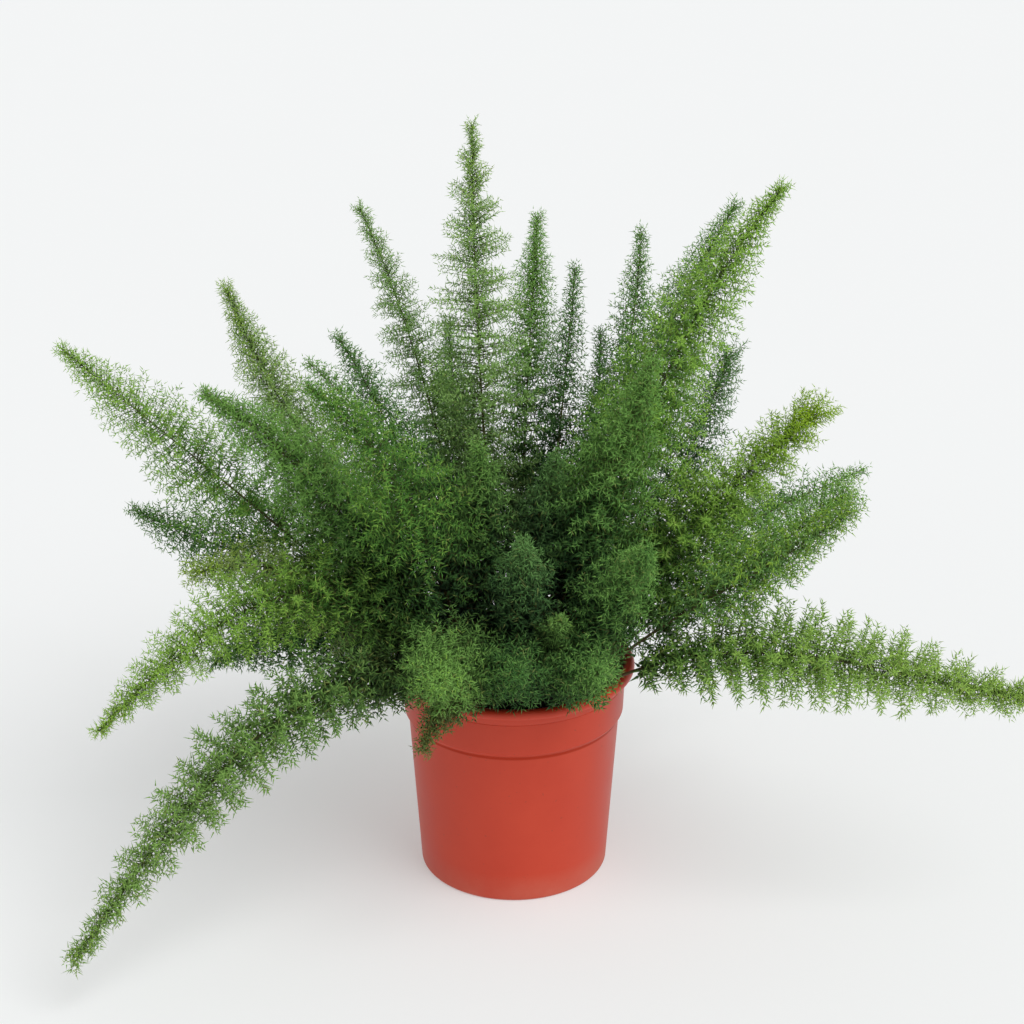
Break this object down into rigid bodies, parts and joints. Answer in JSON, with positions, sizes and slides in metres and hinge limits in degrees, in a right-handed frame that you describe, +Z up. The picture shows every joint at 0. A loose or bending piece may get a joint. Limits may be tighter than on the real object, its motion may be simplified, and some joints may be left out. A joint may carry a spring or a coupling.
{
  "type": "potted foxtail fern",
  "caption": "Bushy foxtail fern with upright and arching needle-leaved plumes, growing in soil in a round tapered plastic nursery pot.",
  "frame": {"origin": "middle of the pot's flat base, on the surface that the pot stands on", "axes": "+Z up along the pot's axis, front towards -Y, +X to the right as seen from the front"},
  "size_m": [0.665, 0.4975, 0.525],
  "materials": {
    "pot_plastic": "terracotta red, satin",
    "soil": "dark, crumbly potting mix",
    "leaf_young": "fresh yellow-green needles, slightly waxy",
    "leaf_green": "mid green needles, slightly waxy",
    "leaf_dark": "old dark green needles, matt"
  },
  "bodies": {
    "root": {"pot": "pot_plastic", "soil": "soil", "plume_far_left": "leaf_young", "plume_left_low_back": "leaf_green", "plume_left_upper": "leaf_green", "plume_left_mid": "leaf_green", "plume_left_inner": "leaf_dark", "plume_front_left_tall": "leaf_young", "plume_back_left": "leaf_green", "plume_centre_tall": "leaf_green", "plume_back_mid": "leaf_green", "plume_back_mid_right": "leaf_dark", "plume_back_low": "leaf_dark", "plume_back_right": "leaf_green", "plume_right_tall": "leaf_young", "plume_right_behind": "leaf_green", "plume_right_back_low": "leaf_dark", "plume_right_inner": "leaf_green", "plume_right_young": "leaf_young", "plume_right_broad": "leaf_green", "plume_right_low": "leaf_dark", "plume_right_level": "leaf_young", "plume_left_trailing": "leaf_green", "plume_left_arching": "leaf_young", "plume_left_droop": "leaf_dark", "plume_left_pale": "leaf_young", "plume_front_ball_left": "leaf_green", "plume_front_hanging": "leaf_dark", "plume_front_ball_mid": "leaf_green", "plume_front_small": "leaf_green", "plume_front_ball_right": "leaf_green", "plume_front_right_tuft": "leaf_green", "plume_front_mid_tuft": "leaf_dark", "plume_centre_front": "leaf_green", "plume_centre_mid": "leaf_dark", "plume_back_left_mid": "leaf_dark", "plume_behind_left_low": "leaf_green", "plume_behind_left": "leaf_green", "plume_behind_mid_left": "leaf_young", "plume_behind_mid_low": "leaf_green", "plume_behind_right": "leaf_green", "plume_behind_right_low": "leaf_green", "plume_behind_far_right": "leaf_green"}
  },
  "joints": []
}
